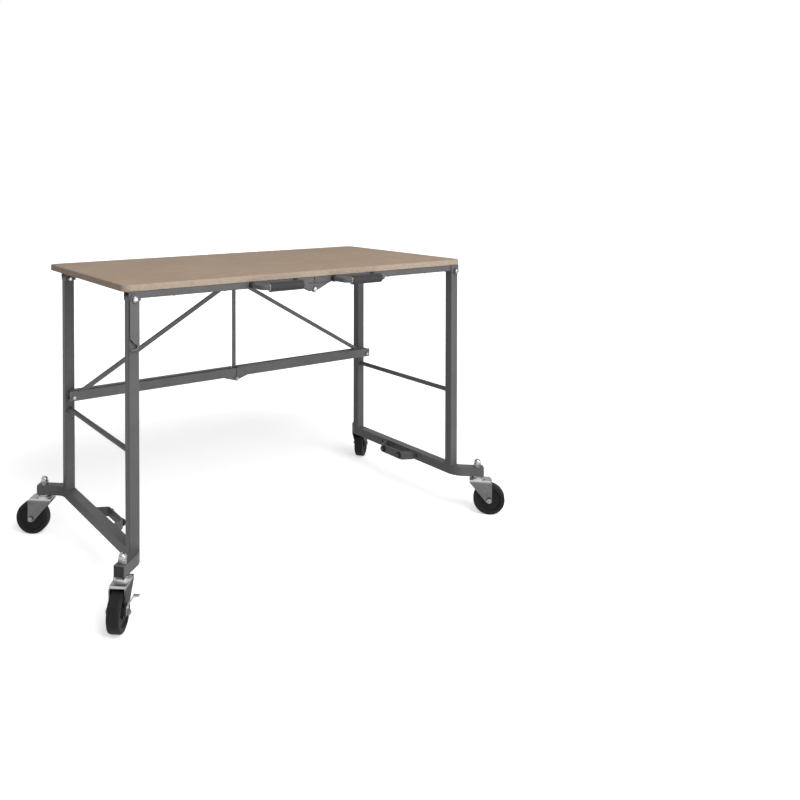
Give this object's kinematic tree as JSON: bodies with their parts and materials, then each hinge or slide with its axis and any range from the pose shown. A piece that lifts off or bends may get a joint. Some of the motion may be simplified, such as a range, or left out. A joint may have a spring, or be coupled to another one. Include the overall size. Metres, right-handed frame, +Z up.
{
  "type": "folding workbench",
  "caption": "Folding workbench with a board top on a square-tube frame with casters, handles and a hooked latch; the hinged middle lifts and the leg frames roll together.",
  "frame": {"origin": "On the floor under the middle of the open bench, at the centre of its outline.", "axes": "+X along the bench from the latch end to the other end, -Y the front with the handles, +Z up."},
  "size_m": [1.4278, 0.8082, 0.862],
  "materials": {
    "powder_coat": "satin powder coat",
    "board": "bare fibreboard",
    "zinc": "bright zinc plate",
    "black_rubber": "matt moulded",
    "plug": "matt moulded"
  },
  "bodies": {
    "leg_frame_left": {"leg_front_left": "powder_coat", "leg_back_left": "powder_coat", "rung_left": "powder_coat", "foot_beam_left": "powder_coat", "foot_plugs_left": "plug", "bumper_bracket_left": "powder_coat", "bumpers_left": "black_rubber", "caster_stems_left": "zinc", "pivot_bolts_left": "zinc"},
    "leg_frame_right": {"leg_front_right": "powder_coat", "leg_back_right": "powder_coat", "rung_right": "powder_coat", "foot_beam_right": "powder_coat", "foot_plugs_right": "plug", "bumper_bracket_right": "powder_coat", "bumpers_right": "black_rubber", "caster_stems_right": "zinc", "pivot_bolts_right": "zinc"},
    "top_half_left": {"top_panel_left": "board", "rail_front_left": "powder_coat", "rail_back_left": "powder_coat", "cross_rails_left": "powder_coat", "pivot_brackets_left": "powder_coat", "hinge_lugs_left": "powder_coat", "handle_left": "powder_coat", "grip_left": "black_rubber", "hinge_bolts": "zinc"},
    "top_half_right": {"top_panel_right": "board", "rail_front_right": "powder_coat", "rail_back_right": "powder_coat", "cross_rails_right": "powder_coat", "pivot_brackets_right": "powder_coat", "hinge_lugs_right": "powder_coat", "handle_right": "powder_coat", "grip_right": "black_rubber"},
    "stretcher_half_left": {"stretcher_left": "powder_coat", "stretcher_hinge_bolt": "zinc"},
    "stretcher_half_right": {"stretcher_right": "powder_coat"},
    "post": {"king_post": "powder_coat", "brace_pin": "zinc"},
    "lower_bar_left": {"brace_lower_left": "powder_coat"},
    "upper_bar_left": {"brace_upper_left": "powder_coat"},
    "lower_bar_right": {"brace_lower_right": "powder_coat"},
    "upper_bar_right": {"brace_upper_right": "powder_coat"},
    "latch": {"latch_plate": "powder_coat"},
    "caster_front_left": {"fork_front_left": "zinc", "axle_front_left": "zinc"},
    "rolling_front_left": {"wheel_front_left": "black_rubber"},
    "caster_front_right": {"fork_front_right": "zinc", "axle_front_right": "zinc"},
    "rolling_front_right": {"wheel_front_right": "black_rubber"},
    "caster_back_left": {"fork_back_left": "zinc", "axle_back_left": "zinc"},
    "rolling_back_left": {"wheel_back_left": "black_rubber"},
    "caster_back_right": {"fork_back_right": "zinc", "axle_back_right": "zinc"},
    "rolling_back_right": {"wheel_back_right": "black_rubber"},
    "brake_left": {"brake_lever_left": "zinc"},
    "brake_right": {"brake_lever_right": "zinc"}
  },
  "joints": [
    {"name": "fold", "type": "hinge", "parent": "leg_frame_left", "child": "top_half_left", "pos_m": [-0.58, -0.2551, 0.824], "axis": [0, -1, 0], "range_deg": [0, 85.6]},
    {"name": "centre_hinge", "type": "hinge", "parent": "top_half_left", "child": "top_half_right", "pos_m": [0, -0.2551, 0.806], "axis": [0, -1, 0], "range_deg": [-171.2, 0]},
    {"name": "right_pivot", "type": "hinge", "parent": "top_half_right", "child": "leg_frame_right", "pos_m": [0.58, -0.2551, 0.824], "axis": [0, -1, 0], "range_deg": [0, 85.6]},
    {"name": "stretcher_pivot_left", "type": "hinge", "parent": "leg_frame_left", "child": "stretcher_half_left", "pos_m": [-0.58, 0.2649, 0.454], "axis": [0, -1, 0], "range_deg": [0, 85.6]},
    {"name": "stretcher_pivot_right", "type": "hinge", "parent": "leg_frame_right", "child": "stretcher_half_right", "pos_m": [0.58, 0.2649, 0.454], "axis": [0, -1, 0], "range_deg": [-85.6, 0]},
    {"name": "post_pivot", "type": "hinge", "parent": "top_half_left", "child": "post", "pos_m": [0, 0.2313, 0.806], "axis": [0, -1, 0], "range_deg": [-85.6, 0]},
    {"name": "lower_bar_pivot_left", "type": "hinge", "parent": "leg_frame_left", "child": "lower_bar_left", "pos_m": [-0.58, 0.2649, 0.454], "axis": [0, -1, 0], "range_deg": [0, 56.26]},
    {"name": "upper_bar_pivot_left", "type": "hinge", "parent": "post", "child": "upper_bar_left", "pos_m": [0, 0.2313, 0.7875], "axis": [0, -1, 0], "range_deg": [0, 56.26]},
    {"name": "lower_bar_pivot_right", "type": "hinge", "parent": "leg_frame_right", "child": "lower_bar_right", "pos_m": [0.58, 0.2649, 0.454], "axis": [0, -1, 0], "range_deg": [-56.26, 0]},
    {"name": "upper_bar_pivot_right", "type": "hinge", "parent": "post", "child": "upper_bar_right", "pos_m": [0, 0.2313, 0.7875], "axis": [0, -1, 0], "range_deg": [-56.26, 0]},
    {"name": "latch_pivot", "type": "hinge", "parent": "leg_frame_left", "child": "latch", "pos_m": [-0.58, -0.2551, 0.824], "axis": [0, -1, 0], "range_deg": [0, 115]},
    {"name": "swivel_front_left", "type": "hinge", "parent": "leg_frame_left", "child": "caster_front_left", "pos_m": [-0.63616, -0.32554, 0.1], "axis": [0, 0, 1], "continuous": true},
    {"name": "roll_front_left", "type": "hinge", "parent": "caster_front_left", "child": "rolling_front_left", "pos_m": [-0.66008, -0.35507, 0.052], "axis": [0.7771, -0.6293, 0], "continuous": true},
    {"name": "brake_left_tread", "type": "hinge", "parent": "caster_front_left", "child": "brake_left", "pos_m": [-0.66008, -0.35507, 0.052], "axis": [0.7771, -0.6293, 0], "range_deg": [0, 25]},
    {"name": "swivel_front_right", "type": "hinge", "parent": "leg_frame_right", "child": "caster_front_right", "pos_m": [0.63616, -0.32554, 0.1], "axis": [0, 0, 1], "continuous": true},
    {"name": "roll_front_right", "type": "hinge", "parent": "caster_front_right", "child": "rolling_front_right", "pos_m": [0.66303, -0.35241, 0.052], "axis": [0.7071, 0.7071, 0], "continuous": true},
    {"name": "brake_right_tread", "type": "hinge", "parent": "caster_front_right", "child": "brake_right", "pos_m": [0.66303, -0.35241, 0.052], "axis": [0.7071, 0.7071, 0], "range_deg": [0, 25]},
    {"name": "swivel_back_left", "type": "hinge", "parent": "leg_frame_left", "child": "caster_back_left", "pos_m": [-0.63616, 0.33534, 0.1], "axis": [0, 0, 1], "continuous": true},
    {"name": "roll_back_left", "type": "hinge", "parent": "caster_back_left", "child": "rolling_back_left", "pos_m": [-0.66527, 0.35977, 0.052], "axis": [-0.6428, -0.766, 0], "continuous": true},
    {"name": "swivel_back_right", "type": "hinge", "parent": "leg_frame_right", "child": "caster_back_right", "pos_m": [0.63616, 0.33534, 0.1], "axis": [0, 0, 1], "continuous": true},
    {"name": "roll_back_right", "type": "hinge", "parent": "caster_back_right", "child": "rolling_back_right", "pos_m": [0.66527, 0.35977, 0.052], "axis": [-0.6428, 0.766, 0], "continuous": true}
  ],
  "couplings": [
    {"joint": "centre_hinge", "follows": "fold", "ratio": -2},
    {"joint": "right_pivot", "follows": "fold", "ratio": 1},
    {"joint": "stretcher_pivot_left", "follows": "fold", "ratio": 1},
    {"joint": "stretcher_pivot_right", "follows": "fold", "ratio": -1},
    {"joint": "post_pivot", "follows": "fold", "ratio": -1},
    {"joint": "lower_bar_pivot_left", "follows": "fold", "ratio": 0.65716},
    {"joint": "upper_bar_pivot_left", "follows": "fold", "ratio": 0.65716},
    {"joint": "lower_bar_pivot_right", "follows": "fold", "ratio": -0.65716},
    {"joint": "upper_bar_pivot_right", "follows": "fold", "ratio": -0.65716}
  ]
}
